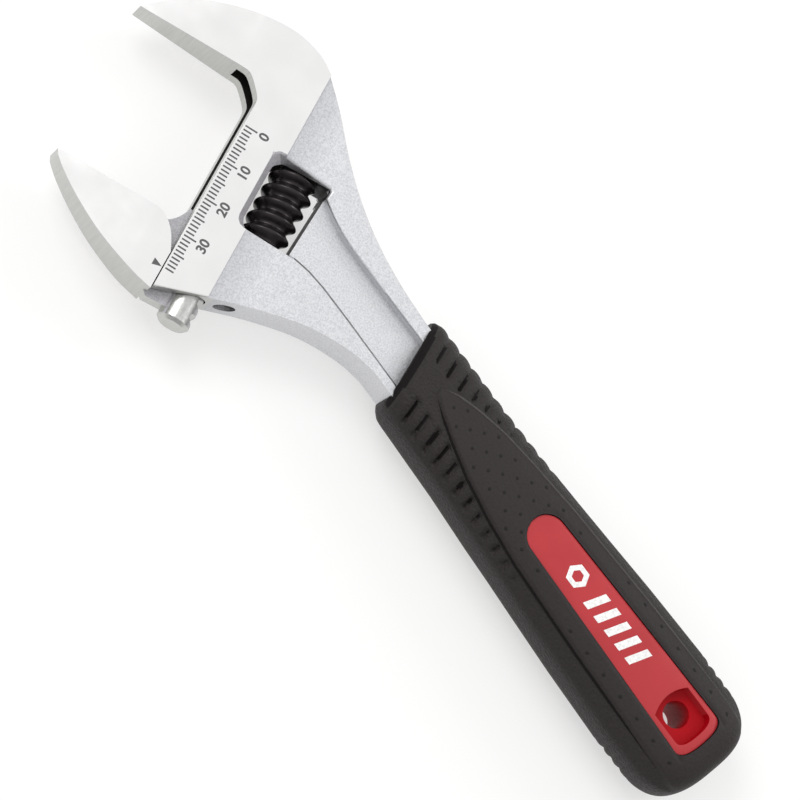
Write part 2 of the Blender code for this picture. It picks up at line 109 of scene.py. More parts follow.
def settle(obj):
    """Apply an object's modifiers."""
    graph = bpy.context.evaluated_depsgraph_get()
    graph.update()
    mesh = bpy.data.meshes.new_from_object(obj.evaluated_get(graph))
    obj.modifiers.clear()
    obj.data = mesh


def boolean(target, other, operation='DIFFERENCE'):
    """Exact boolean, applied, with the other object removed."""
    step = target.modifiers.new("cut", 'BOOLEAN')
    step.object = other
    step.operation = operation
    step.solver = 'EXACT'
    settle(target)
    bpy.data.objects.remove(other, do_unlink=True)


def round_edges(obj, width, segments=3, angle=30.0):
    """Bevel every edge sharper than the angle, and apply it."""
    bevel = obj.modifiers.new("edges", 'BEVEL')
    bevel.width = width * MM
    bevel.segments = segments
    bevel.limit_method = 'ANGLE'
    bevel.angle_limit = math.radians(angle)
    bevel.miter_outer = 'MITER_ARC'
    bevel.use_clamp_overlap = True
    bevel.harden_normals = False
    settle(obj)


def round_chosen(obj, width, choose, segments=3):
    """Bevel only the edges that choose picks by the places and normals of their two faces."""
    mesh = obj.data
    to_slide = SLIDE.inverted()
    turn = SLIDE_TURN.transposed()
    sides = {}
    for face in mesh.polygons:
        for key in face.edge_keys:
            sides.setdefault(key, []).append((to_slide @ face.center, turn @ face.normal))
    weights = mesh.attributes.new("bevel_weight_edge", 'FLOAT', 'EDGE')
    for edge in mesh.edges:
        pair = sides.get(tuple(sorted(edge.vertices)), [])
        start, end = (mesh.vertices[i].co for i in edge.vertices)
        chosen = len(pair) == 2 and choose(to_slide @ ((start + end) / 2), *pair)
        weights.data[edge.index].value = 1.0 if chosen else 0.0
    bevel = obj.modifiers.new("chosen", 'BEVEL')
    bevel.width = width * MM
    bevel.segments = segments
    bevel.limit_method = 'WEIGHT'
    bevel.use_clamp_overlap = False
    settle(obj)


def prism(outline, low, high):
    """Closed outline drawn out along z."""
    bm = bmesh.new()
    base = [bm.verts.new((p[0], p[1], low)) for p in outline]
    face = bm.faces.new(base)
    drawn = bmesh.ops.extrude_face_region(bm, geom=[face])
    top = [v for v in drawn["geom"] if isinstance(v, bmesh.types.BMVert)]
    bmesh.ops.translate(bm, vec=(0, 0, high - low), verts=top)
    return bm


def loft(rings):
    """Skin over rings of equal length, closed with a cap at each end."""
    bm = bmesh.new()
    rows = [[bm.verts.new(p) for p in ring] for ring in rings]
    count = len(rows[0])
    for row, following in zip(rows, rows[1:]):
        for i in range(count):
            k = (i + 1) % count
            bm.faces.new((row[i], row[k], following[k], following[i]))
    bm.faces.new(rows[0])
    bm.faces.new(rows[-1])
    return bm


def turned(profile, segments):
    """Turned solid about the first axis: profile is (distance, radius) from end to end."""
    rings = []
    for x, r in profile:
        ring = []
        for i in range(segments):
            a = 2 * math.pi * i / segments
            ring.append((x, r * math.cos(a), r * math.sin(a)))
        rings.append(ring)
    return loft(rings)


def copy_of(node, name):
    """Copy of a CAD node with its flat faces made whole again, ready for bevels."""
    bm = bmesh.new()
    bm.from_mesh(frame["nodes"][node].data)
    bmesh.ops.remove_doubles(bm, verts=bm.verts, dist=1e-6)
    bmesh.ops.dissolve_limit(bm, angle_limit=math.radians(0.6), verts=bm.verts, edges=bm.edges)
    return new_object(name, bm)


def smoothstep(low, high, value):
    t = min(max((value - low) / (high - low), 0.0), 1.0)
    return t * t * (3 - 2 * t)


def linear(value, stations):
    """Straight interpolation of (position, value) stations."""
    if value <= stations[0][0]:
        return stations[0][1]
    for (p0, v0), (p1, v1) in zip(stations, stations[1:]):
        if value <= p1:
            return v0 + (v1 - v0) * (value - p0) / (p1 - p0)
    return stations[-1][1]


# ---------------------------------------------------------------- materials
class Look:
    """A Principled material and the nodes that feed it."""

    def __init__(self, name, **sockets):
        self.material = bpy.data.materials.new(name)
        self.material.use_nodes = True
        self.tree = self.material.node_tree
        self.shader = self.tree.nodes["Principled BSDF"]
        for socket, value in sockets.items():
            self.shader.inputs[socket.replace("_", " ")].default_value = value
        self.place = self.tree.nodes.new("ShaderNodeTexCoord").outputs["Object"]

    def link(self, a, b):
        self.tree.links.new(a, b)

    def stretched(self, matrix, scale):
        """Object coordinates turned into the part's own axes and scaled by axis."""
        node = self.tree.nodes.new("ShaderNodeMapping")
        node.vector_type = 'TEXTURE'
        node.inputs["Rotation"].default_value = matrix.to_euler()
        node.inputs["Scale"].default_value = [1.0 / s for s in scale]
        self.link(self.place, node.inputs["Vector"])
        return node.outputs["Vector"]

    def noise(self, scale, detail=4.0, roughness=0.55, vector=None):
        node = self.tree.nodes.new("ShaderNodeTexNoise")
        node.inputs["Scale"].default_value = scale
        node.inputs["Detail"].default_value = detail
        node.inputs["Roughness"].default_value = roughness
        self.link(self.place if vector is None else vector, node.inputs["Vector"])
        return node.outputs["Fac"]

    def pits(self, scale, vector=None):
        node = self.tree.nodes.new("ShaderNodeTexVoronoi")
        node.inputs["Scale"].default_value = scale
        self.link(self.place if vector is None else vector, node.inputs["Vector"])
        return node.outputs["Distance"]

    def ramp(self, factor, stops):
        node = self.tree.nodes.new("ShaderNodeValToRGB")
        points = node.color_ramp.elements
        while len(points) < len(stops):
            points.new(0.5)
        for point, (position, color) in zip(points, stops):
            point.position = position
            point.color = color if len(color) == 4 else (*color, 1.0)
        self.link(factor, node.inputs["Fac"])
        return node.outputs["Color"]

    def spread(self, factor, low, high):
        """Map a 0.3 to 0.7 noise onto low to high."""
        node = self.tree.nodes.new("ShaderNodeMapRange")
        node.inputs["From Min"].default_value = 0.3
        node.inputs["From Max"].default_value = 0.7
        node.inputs["To Min"].default_value = low
        node.inputs["To Max"].default_value = high
        self.link(factor, node.inputs["Value"])
        return node.outputs["Result"]

    def bump(self, height, distance, strength=1.0, below=None):
        node = self.tree.nodes.new("ShaderNodeBump")
        node.inputs["Distance"].default_value = distance * MM
        node.inputs["Strength"].default_value = strength
        self.link(height, node.inputs["Height"])
        if below is not None:
            self.link(below, node.inputs["Normal"])
        return node.outputs["Normal"]

    def wear(self, low, high):
        """Edge wear from how sharply the surface turns."""
        geometry = self.tree.nodes.new("ShaderNodeNewGeometry")
        node = self.tree.nodes.new("ShaderNodeMapRange")
        node.inputs["From Min"].default_value = low
        node.inputs["From Max"].default_value = high
        self.link(geometry.outputs["Pointiness"], node.inputs["Value"])
        return node.outputs["Result"]

    def mix(self, factor, a, b):
        node = self.tree.nodes.new("ShaderNodeMix")
        node.data_type = 'RGBA'
        self.link(factor, node.inputs["Factor"])
        for value, socket in ((a, node.inputs[6]), (b, node.inputs[7])):
            if isinstance(value, tuple):
                socket.default_value = (*value, 1.0)
            else:
                self.link(value, socket)
        return node.outputs[2]

    def multiply(self, a, b):
        node = self.tree.nodes.new("ShaderNodeMix")
        node.data_type = 'RGBA'
        node.blend_type = 'MULTIPLY'
        node.inputs["Factor"].default_value = 1.0
        self.link(a, node.inputs[6])
        self.link(b, node.inputs[7])
        return node.outputs[2]

    def distance_along(self, axis, low, high):
        """0 to 1 between two distances in mm from the origin of the axes, along one axis."""
        dot = self.tree.nodes.new("ShaderNodeVectorMath")
        dot.operation = 'DOT_PRODUCT'
        dot.inputs[1].default_value = axis
        self.link(self.place, dot.inputs[0])
        node = self.tree.nodes.new("ShaderNodeMapRange")
        start = ORIGIN.dot(axis)
        node.inputs["From Min"].default_value = start + low * MM
        node.inputs["From Max"].default_value = start + high * MM
        self.link(dot.outputs["Value"], node.inputs["Value"])
        return node.outputs["Result"]

    def color(self, output):
        self.link(output, self.shader.inputs["Base Color"])

    def roughness(self, output):
        self.link(output, self.shader.inputs["Roughness"])

    def normal(self, output):
        self.link(output, self.shader.inputs["Normal"])


def polished_chrome(name):
    """Bright plated face, finely ground across the head before plating."""
    look = Look(name, Metallic=1.0)
    grain = look.noise(1.0, 3.0, vector=look.stretched(SLIDE_TURN, (7000, 260, 260)))
    cloud = look.noise(70.0, 3.0)
    look.color(look.ramp(cloud, [(0.3, (0.88, 0.875, 0.87)), (0.7, (0.93, 0.925, 0.92))]))
    look.roughness(look.spread(look.noise(160.0, 5.0), 0.16, 0.27))
    look.normal(look.bump(grain, 0.004, 0.5))
    return look.material


def satin_forging(name):
    """Plated forging with the fine pitted skin of a blasted casting, darkened near the head's border
    by painted shade.
    """
    look = Look(name, Metallic=1.0)
    skin = look.noise(2600.0, 3.0, 0.7)
    grit = look.noise(1300.0, 2.0, 0.6)
    tone = look.ramp(skin, [(0.35, (0.56, 0.565, 0.585)), (0.6, (0.73, 0.735, 0.755))])
    # painted shade: the skin's tone darkens towards the polished head's border
    near_head = look.distance_along(V_AXIS, BORDER_V, BORDER_V + 9.0)
    border_shade = look.ramp(near_head, [(0.0, (0.80, 0.80, 0.81)), (1.0, (1.0, 1.0, 1.0))])
    look.color(look.multiply(tone, border_shade))
    look.roughness(look.spread(skin, 0.36, 0.54))
    look.normal(look.bump(skin, 0.05, 0.7, look.bump(grit, 0.07, 0.6)))
    return look.material


def rough_rim(name):
    """Rough cast flare round the window, dull under its thin plating; its dark tone is also painted
    shade on the flares that face away from the light.
    """
    look = Look(name, Metallic=0.25)
    skin = look.noise(2400.0, 4.0, 0.7)
    look.color(look.ramp(skin, [(0.35, (0.36, 0.35, 0.37)), (0.65, (0.56, 0.55, 0.58))]))
    look.roughness(look.spread(skin, 0.4, 0.6))
    look.normal(look.bump(skin, 0.12, 0.8))
    return look.material


def dark_bore(name):
    """Unplated steel inside the slot, the bore and the window, painted near black as the shade in
    these hollows.
    """
    look = Look(name, Metallic=0.6)
    cloud = look.noise(700.0, 4.0)
    look.color(look.ramp(cloud, [(0.3, (0.012, 0.011, 0.010)), (0.7, (0.028, 0.026, 0.024))]))
    look.roughness(look.spread(cloud, 0.45, 0.65))
    look.normal(look.bump(look.noise(1800.0, 3.0), 0.02, 0.5))
    return look.material


def ground_edge(name):
    """Plated side faces, ground through the thickness."""
    look = Look(name, Metallic=1.0)
    grain = look.noise(1.0, 3.0, vector=look.stretched(SLIDE_TURN, (1500, 1500, 90)))
    look.color(look.ramp(grain, [(0.3, (0.50, 0.505, 0.485)), (0.7, (0.60, 0.605, 0.585))]))
    look.roughness(look.spread(grain, 0.28, 0.42))
    look.normal(look.bump(grain, 0.008, 0.5))
    return look.material


def black_oxide(name):
    """Blackened steel with an oily gloss, rubbed on its crests."""
    look = Look(name, Metallic=0.75, Coat_Weight=0.25, Coat_Roughness=0.2)
    cloud = look.noise(420.0, 5.0)
    worn = look.wear(0.52, 0.6)
    dark = look.ramp(cloud, [(0.3, (0.016, 0.012, 0.013)), (0.7, (0.032, 0.026, 0.028))])
    look.color(look.mix(worn, dark, (0.075, 0.068, 0.07)))
    look.roughness(look.spread(cloud, 0.24, 0.4))
    look.normal(look.bump(look.noise(1600.0, 3.0), 0.008, 0.5))
    return look.material


def steel(name, color, roughness):
    """Plain machined or drawn steel with a film of oil."""
    look = Look(name, Metallic=1.0)
    cloud = look.noise(500.0, 4.0)
    light = tuple(min(1.0, c * 1.3) for c in color)
    look.color(look.ramp(cloud, [(0.3, color), (0.7, light)]))
    look.roughness(look.spread(cloud, roughness - 0.06, roughness + 0.08))
    look.normal(look.bump(look.noise(2200.0, 3.0), 0.006, 0.5))
    return look.material


def soft_rubber(name, tone, relief, gloss=0.3):
    """Soft charcoal moulding; relief is the depth of its leather-like grain in mm."""
    look = Look(name, Metallic=0.0, Specular_IOR_Level=gloss)
    grain = look.noise(1500.0, 4.0, 0.65)
    cells = look.pits(1300.0)
    light = tuple(c * 1.45 for c in tone)
    look.color(look.ramp(grain, [(0.35, tone), (0.65, light)]))
    look.roughness(look.spread(grain, 0.48, 0.68))
    look.normal(look.bump(grain, relief, 0.8, look.bump(cells, relief * 0.7, 0.7)))
    return look.material


def hard_red(name, dark=False):
    """Hard red moulding, spark-eroded to a fine satin; dark gives the darker, less glossy red
    painted as shade in the basins.
    """
    look = Look(name, Metallic=0.0, Specular_IOR_Level=0.12 if dark else 0.5)
    grain = look.noise(1300.0, 4.0, 0.6)
    cloud = look.noise(80.0, 2.0)
    # painted shade: darker, less glossy red for the basin's sunken walls
    if dark:
        tones = [(0.3, (0.36, 0.001, 0.006)), (0.7, (0.42, 0.002, 0.008))]
    else:
        tones = [(0.3, (0.42, 0.016, 0.022)), (0.7, (0.47, 0.022, 0.029))]
    look.color(look.ramp(cloud, tones))
    look.roughness(look.spread(grain, 0.38, 0.52))
    look.normal(look.bump(grain, 0.02, 0.5))
    return look.material


def ink(name, color):
    """Printed or lasered mark, slightly uneven."""
    look = Look(name, Metallic=0.0)
    cloud = look.noise(1800.0, 3.0)
    light = tuple(min(1.0, c * 1.35 + 0.01) for c in color)
    look.color(look.ramp(cloud, [(0.3, color), (0.7, light)]))
    look.roughness(look.spread(cloud, 0.5, 0.65))
    return look.material


CHROME = polished_chrome("polished_chrome")
FORGING = satin_forging("satin_forging")
GROUND = ground_edge("ground_edge")
BORE_SHADE = dark_bore("dark_bore")
RIM = rough_rim("rough_rim")
# painted shade: dark steel for the flange edges and pocket walls of the neck that face +Y
EDGE = steel("shaded_edge", (0.22, 0.22, 0.23), 0.4)
OXIDE = black_oxide("black_oxide")
PIN_STEEL = steel("oiled_steel", (0.16, 0.155, 0.15), 0.34)
SPRING_STEEL = steel("spring_wire", (0.5, 0.5, 0.5), 0.3)
RUBBER = soft_rubber("soft_charcoal", (0.019, 0.0145, 0.0145), 0.12)
RUBBER_FLANK = soft_rubber("soft_charcoal_flank", (0.018, 0.0145, 0.014), 0.35)
# painted shade: near-black, less glossy rubber for the sleeve's groove bottoms, its front collar and
# the pads' -Y crease
RUBBER_SHADE = soft_rubber("soft_charcoal_recess_shade", (0.006, 0.0045, 0.0045), 0.1, gloss=0.12)
# painted highlight: lighter rubber for the lit +Y lip of the pads
RUBBER_HIGHLIGHT = soft_rubber("soft_charcoal_highlight", (0.05, 0.044, 0.044), 0.1)
RUBBER_DOT = soft_rubber("soft_charcoal_dot", (0.011, 0.009, 0.009), 0.05, gloss=0.2)
RED = hard_red("hard_red")
RED_SHADE = hard_red("hard_red_basin_shade", dark=True)
MARK = ink("laser_mark", (0.075, 0.072, 0.075))
WHITE = ink("white_print", (0.74, 0.73, 0.72))


# ---------------------------------------------------------------- forged parts
BRIGHT, SKIN, SIDE, SHADE_INSIDE, SHADED, ROUGH = range(6)   # finishes in dress_metal's order


def dress_metal(obj, sort_face):
    """Give each face the finish that sort_face picks for it."""
    for material in (CHROME, FORGING, GROUND, BORE_SHADE, EDGE, RIM):
        obj.data.materials.append(material)
    to_slide = SLIDE.inverted()
    turn = SLIDE_TURN.transposed()
    for face in obj.data.polygons:
        face.material_index = sort_face(to_slide @ face.center, turn @ face.normal)


SLOT_HALF = 2.4            # half width of the blade's slot
WEB_HALF = 2.8             # half thickness of the neck's web
BORE_R = 4.3               # radius of the rack's bore
RACK_V = 8.3               # axis of the rack and its bore
WINDOW_U = (2.1, 20.5)     # the worm's window along the slide
WINDOW_V = (10.6, 24.6)    # and across it
SLOT_V = (-8.0, RACK_V + 0.5)   # stretch of the slot whose walls are dark
JAW_V = -7.5               # the fixed jaw's faces are polished past this, at any thickness
SIDE_V = 11.9              # the head's ground sides end here
SHOULDER_V = 8.5           # and here on the fixed jaw's side
POCKET_V = BORDER_V + 6.0  # walls and edges of the neck's pocket lie past this
HEAD_END_U = 36.0          # the head's end face lies past this


def frame_face(place, normal):
    """Pick the finish of a frame face from its place and normal in slide axes."""
    flat = abs(normal.z)
    in_window = (WINDOW_U[0] - 3.0 < place.x < WINDOW_U[1] + 1.2
                 and WINDOW_V[0] - 3.0 < place.y < WINDOW_V[1] + 0.8)
    slot_end = place.x < FIXED_FACE_U - 1.0 and normal.x > 0.0
    in_slot = abs(place.z) < SLOT_HALF + 0.05 and (flat > 0.9 or slot_end)
    off_axis = math.hypot(place.y - RACK_V, place.z)
    in_bore = off_axis < BORE_R + 0.1 and abs(normal.x) < 0.5 and place.y > THROAT_V + 1.0
    # painted shade: the slot's walls, the bore and the window's walls take the near-black bore
    # finish
    if (in_slot and SLOT_V[0] < place.y < SLOT_V[1]) or in_bore:
        return SHADE_INSIDE
    if in_window and flat < 0.15:
        return SHADE_INSIDE
    # painted light and shade: the top flare, facing +u, and the shallow strips past the border take
    # the lighter skin; the other flares take the darker rough tone
    if in_window and flat < 0.97:
        return SKIN if normal.x > 0.6 or flat > 0.7 and place.y > BORDER_V else ROUGH
    if flat > 0.55 and (abs(place.z) > NECK_HALF + 0.15 or place.y < JAW_V):
        return BRIGHT
    if place.y > SIDE_V or (place.y > SHOULDER_V and place.x < 0.0):
        y_side = normal.x * U_AXIS.y + normal.y * V_AXIS.y
        in_web = WEB_HALF + 0.4 < abs(place.z) < NECK_HALF and 0.2 < flat < 0.97
        if in_web and place.y > POCKET_V:
            return SHADED if y_side > 0.15 else SKIN
        return SKIN
    return SIDE


def broad_edge(middle, one, other):
    """Edges of the forging with a broad rounding: the flanges', the window's top, the head's end."""
    flat, wall = (one, other) if abs(one[1].z) > abs(other[1].z) else (other, one)
    if abs(flat[1].z) < 0.97 or abs(middle.z) < NECK_HALF - 0.1:
        return False
    pocket = abs(wall[1].z) < 0.2 and WEB_HALF < abs(wall[0].z) < NECK_HALF - 0.2
    sloped = 0.2 < abs(wall[1].z) < 0.8
    window_top = sloped and middle.x < WINDOW_U[0] + 0.5 and middle.y > WINDOW_V[0] - 2.6
    head_end = wall[1].x > 0.7 and middle.x > HEAD_END_U and abs(middle.z) > NECK_HALF + 0.2
    return (pocket and middle.y > POCKET_V) or window_top or head_end


def jaw_face(place, normal):
    """Pick the finish of a moving jaw face: ground faces, rough blade and gusset, sides."""
    flat = abs(normal.z)
    if flat > 0.55 and abs(place.z) < SLOT_HALF + 0.5:
        return ROUGH
    return BRIGHT if flat > 0.55 and place.y < 0.5 else SIDE


def make_frame():
    """Forged frame with broken edges, polished head and satin neck."""
    obj = copy_of("frame", "forged_frame")
    round_chosen(obj, 0.6, broad_edge)
    round_edges(obj, 0.35)
    shade(obj, weighted=True)
    dress_metal(obj, frame_face)
    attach(obj, "frame_body")
    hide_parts("frame")


def make_jaw():
    """Moving jaw with its blade and rack, ground bright on its faces."""
    obj = copy_of("moving_jaw", "sliding_jaw")
    round_edges(obj, 0.3)
    shade(obj, weighted=True)
    dress_metal(obj, jaw_face)
    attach(obj, "jaw_body")
    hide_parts("moving_jaw")


# ---------------------------------------------------------------- scale
TICK_HALF = 0.2            # half width of a tick
TICK_START = 0.15          # the ticks start this far from the head's inner edge
TICK_LENGTHS = (2.15, 2.7, 3.2)   # every 1, 5 and 10 mm
NUMERAL_SIZE = 3.3
NUMERAL_V = 5.25           # middle of the numbers
POINTER_V = -3.0           # base of the jaw's pointer


def plate(bm, outline, lift, thickness=0.02):
    """Thin printed shape standing on a face at height lift."""
    low = [bm.verts.new((p[0], p[1], lift)) for p in outline]
    high = [bm.verts.new((p[0], p[1], lift + thickness)) for p in outline]
    count = len(outline)
    bm.faces.new(high)
    bm.faces.new(low[::-1])
    for i in range(count):
        k = (i + 1) % count
        bm.faces.new((low[i], low[k], high[k], high[i]))


def text_outline(words, size):
    """Mesh of a number, centred, lying flat."""
    curve = bpy.data.curves.new(words, 'FONT')
    curve.body = words
    curve.size = size
    curve.align_x = 'CENTER'
    curve.align_y = 'CENTER'
    curve.extrude = 0.01
    curve.offset = 0.1
    obj = bpy.data.objects.new(words, curve)
    bpy.context.scene.collection.objects.link(obj)
    bpy.context.view_layer.update()
    mesh = bpy.data.meshes.new_from_object(obj.evaluated_get(bpy.context.evaluated_depsgraph_get()))
    bpy.data.objects.remove(obj, do_unlink=True)
    return mesh


def make_scale():
    """Millimetre scale from 0 to the full opening, with a number every 10."""
    bm = bmesh.new()
    for tick in range(int(TRAVEL) + 1):
        end = TICK_START + TICK_LENGTHS[(tick % 5 == 0) + (tick % 10 == 0)]
        near, far = tick - TICK_HALF, tick + TICK_HALF
        plate(bm, [(near, TICK_START), (far, TICK_START), (far, end), (near, end)], HEAD_HALF)
    upright = Matrix.Rotation(math.radians(180), 4, 'Z')
    for number in range(0, int(TRAVEL), 10):
        mesh = text_outline(str(number), NUMERAL_SIZE)
        mesh.transform(Matrix.Translation((number, NUMERAL_V, HEAD_HALF + 0.01)) @ upright)
        bm.from_mesh(mesh)
    obj = new_object("scale_marks", bm, SLIDE)
    obj.data.materials.append(MARK)
    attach(obj, "frame_body")

    bm = bmesh.new()
    tip = (TRAVEL + 0.2, THROAT_V - 0.4)
    plate(bm, [tip, (TRAVEL + 0.9, POINTER_V), (TRAVEL - 0.8, POINTER_V)], HEAD_HALF)
    pointer = new_object("scale_pointer", bm, SLIDE)
    pointer.data.materials.append(MARK)
    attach(pointer, "jaw_body")


# ---------------------------------------------------------------- worm, pin, spring
PITCH = 3.7
WORM_R = 5.85              # over the crests
WORM_ROOT_R = 4.4
WORM_LENGTH = 17.8
WORM_END_STEP = 0.4        # the root is drawn in by up to this at the ends
WORM_RUNOUT = 1.1          # length over which the thread runs out at each end
PIN_BORE_R = 1.8           # bore for the worm's pin
SPRING_BORE_R = 2.6        # wider bore at the top, for the spring
SPRING_BORE_LENGTH = 4.6


def make_worm():
    """Right-handed worm with full, round crests that run out at both ends."""
    segments, steps = 112, 180
    crest = 0.5 * PITCH
    height = WORM_R - WORM_ROOT_R
    rings = []
    for i in range(steps + 1):
        x = WORM_LENGTH * i / steps
        fade = min(1.0, 0.22 + min(x, WORM_LENGTH - x) / WORM_RUNOUT)
        ring = []
        for k in range(segments):
            a = 2 * math.pi * k / segments
            phase = (x - crest) / PITCH - (a - math.pi) / (2 * math.pi)
            swell = 0.5 * (1 + math.cos(2 * math.pi * phase))
            r = WORM_ROOT_R - WORM_END_STEP + (WORM_END_STEP + height * swell) * fade
            ring.append((x, r * math.cos(a), r * math.sin(a)))
        rings.append(ring)
    middle = SLIDE @ Matrix.Translation((WORM_TOP_U, WORM_V, 0))
    worm = new_object("adjusting_worm", loft(rings), middle)
    bore = [(-1.0, SPRING_BORE_R), (SPRING_BORE_LENGTH, SPRING_BORE_R),
            (SPRING_BORE_LENGTH, PIN_BORE_R), (WORM_LENGTH + 1.0, PIN_BORE_R)]
    boolean(worm, new_object("worm_bore", turned(bore, 48), middle))
    round_edges(worm, 0.15, 2, 55.0)
    shade(worm, 50.0)
    worm.data.materials.clear()
    worm.data.materials.append(OXIDE)
    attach(worm, "worm_body")
    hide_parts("worm")


def make_small_parts():
    """The worm's pin with broken edges, and the finish of its spring."""
    pin = copy_of("worm_pin", "pin_screw")
    round_edges(pin, 0.12, 2)
    shade(pin)
    pin.data.materials.append(PIN_STEEL)
    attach(pin, "frame_body")
    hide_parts("worm_pin")
    spring = frame["nodes"]["worm_spring"]
    spring.data.materials.clear()
    spring.data.materials.append(SPRING_STEEL)


# ---------------------------------------------------------------- grip
GRIP_START = 65.0
GRIP_END = 180.5
GRIP_ROUND_X = 169.0       # the far end starts to round off here
ROUND_TURN = math.pi / 2 * 7 / 7.6   # how far round that end the skin runs before its cap
GRIP_SLANT = 0.36          # lean of the sections at the front end
GRIP_SLANT_LENGTH = 60.0
GRIP_BEND = 0.7            # the grip's front end leans off the centre line by this
GRIP_BEND_LENGTH = 40.0
INSERT_X = (110.0, 173.6)
INSERT_HALF = (5.0, 6.6)
PAD = [(74.0, 0.0), (75.0, 1.3), (78.0, 2.8), (84.0, 4.8), (92.0, 6.8), (102.0, 8.3), (115.0, 9.6),
       (140.0, 10.8), (165.0, 11.5), (176.0, 11.6), (182.0, 10.0)]
WIDTHS = [(66.0, 12.1), (90.0, 12.4), (115.0, 13.5), (140.0, 14.9), (160.0, 15.6), (172.0, 15.4)]
DEPTHS = [(66.0, 9.2), (80.0, 9.55), (100.0, 9.68), (140.0, 9.8), (172.0, 9.7)]
SQUARENESS = 2.9           # exponent of the grip's rounded section
PAD_STEP = 0.7             # height of the pad above the flanks
PAD_FADE = (150.0, 172.0)  # the pad's rolled edges die away over this stretch
SCALLOPS = (66.0, 109.5, 3.95)   # start, end and pitch of the scallops on the +Y flank
SLOTS = (67.0, 121.0, 4.2)       # of the slots on the -Y shoulder
TAIL_RIBS = (158.5, 172.0, 3.0)  # and of the ribs on both sides of the far end
INSERT_SINK = 0.55         # depth of the insert's face below the pad
MOUTH_X = (50.0, 73.0)     # hollow in the front end, where the neck goes in
MOUTH_Y = (-11.1, 6.8)
DOT_PITCH = (3.1, 4.5)     # spacing of the dots along and across the grip
DOT_SIZE = (0.62, 0.62, 0.24)
DOTS_X = (79.0, 177.0)     # first and last place of a dot


def grip_lean(x):
    """Slope of the grip's sections, which stand square past its front stretch."""
    return GRIP_SLANT * max(0.0, 1.0 - (x - GRIP_START) / GRIP_SLANT_LENGTH)


def crown(share):
    """Height of a rounded section at a share of its half width, as a share of its half depth."""
    return (1.0 - share ** SQUARENESS) ** (1 / SQUARENESS)


def grip_section(x):
    """Half width and half thickness of the grip, and how far its section leans."""
    width, depth = linear(x, WIDTHS), linear(x, DEPTHS)
    inward = x - GRIP_START
    width *= linear(inward, [(0.0, 0.90), (0.6, 0.95), (2.0, 0.99), (4.0, 1.0)])
    depth *= linear(inward, [(0.0, 0.73), (0.5, 0.77), (1.2, 0.86), (2.0, 0.96), (3.0, 1.0)])
    if x > GRIP_ROUND_X:
        share = (x - GRIP_ROUND_X) / (GRIP_END - GRIP_ROUND_X)
        a = math.asin(min(1.0, share * math.sin(ROUND_TURN)))
        width *= math.cos(a) ** 0.55
        depth *= math.cos(a) ** 0.42
    return width, depth, grip_lean(x)


def grip_middle(x):
    """Centre line of the grip, which leans over at its front end."""
    return GRIP_Y + GRIP_BEND * max(0.0, 1.0 - (x - GRIP_START) / GRIP_BEND_LENGTH)


def insert_half(x, grow=0.0):
    """Half width of the insert at x, or -1 outside its ends."""
    x0, x1 = INSERT_X[0] - grow, INSERT_X[1] + grow
    near, far = INSERT_HALF[0] + grow, INSERT_HALF[1] + grow
    if x < x0 or x > x1:
        return -1.0
    if x < x0 + near:
        return math.sqrt(max(0.0, near ** 2 - (x0 + near - x) ** 2))
    return near + (far - near) * (x - x0 - near) / (x1 - x0 - near)


def notches(x, first, last, pitch):
    """Row of sharp notches with rounded ribs between them, 1 at the bottom of a notch."""
    if not first < x < last:
        return 0.0
    phase = ((x - first) / pitch) % 1.0
    ends = min(1.0, (x - first) / 1.5, (last - x) / 6.0)
    return ends * (1.0 - math.sin(math.pi * phase) ** 0.6)


def groove(x, y, z, width, depth, flank):
    """Depth of the grooves: scallops on the +Y flank, slots on the -Y shoulder, ribs at the end."""
    across, up = abs(y) / width, abs(z) / depth
    off_pad = smoothstep(0.5, 1.6, abs(y) - linear(x, PAD))
    if flank > 0:
        cut = notches(x, *SCALLOPS) * off_pad * smoothstep(0.22, 0.34, across)
        sink = cut * (0.55 + 0.65 * (1.0 - smoothstep(0.55, 0.75, across)))
    else:
        ends = smoothstep(0.42, 0.5, across) * smoothstep(0.56, 0.68, up)
        sink = 1.2 * notches(x, *SLOTS) * ends * off_pad
    on_side = smoothstep(0.8, 0.92, across) * (1.0 - smoothstep(0.5, 0.7, up))
    return max(sink, 0.55 * notches(x, *TAIL_RIBS) * on_side)


def pad_lift(x, y):
    """Raised leaf-shaped pad on both faces of the grip."""
    half = linear(x, PAD)
    if half <= 0.0:
        return 0.0
    return PAD_STEP * (1.0 - smoothstep(half - 0.35, half + 0.35, abs(y)))


def insert_roll(x, y):
    """Rolled lip of the soft moulding round the hard insert."""
    half = insert_half(x, 0.3)
    if half < 0.0:
        return 0.0
    distance = abs(abs(y) - half)
    return 0.35 * max(0.0, 1.0 - distance / 0.9) ** 2


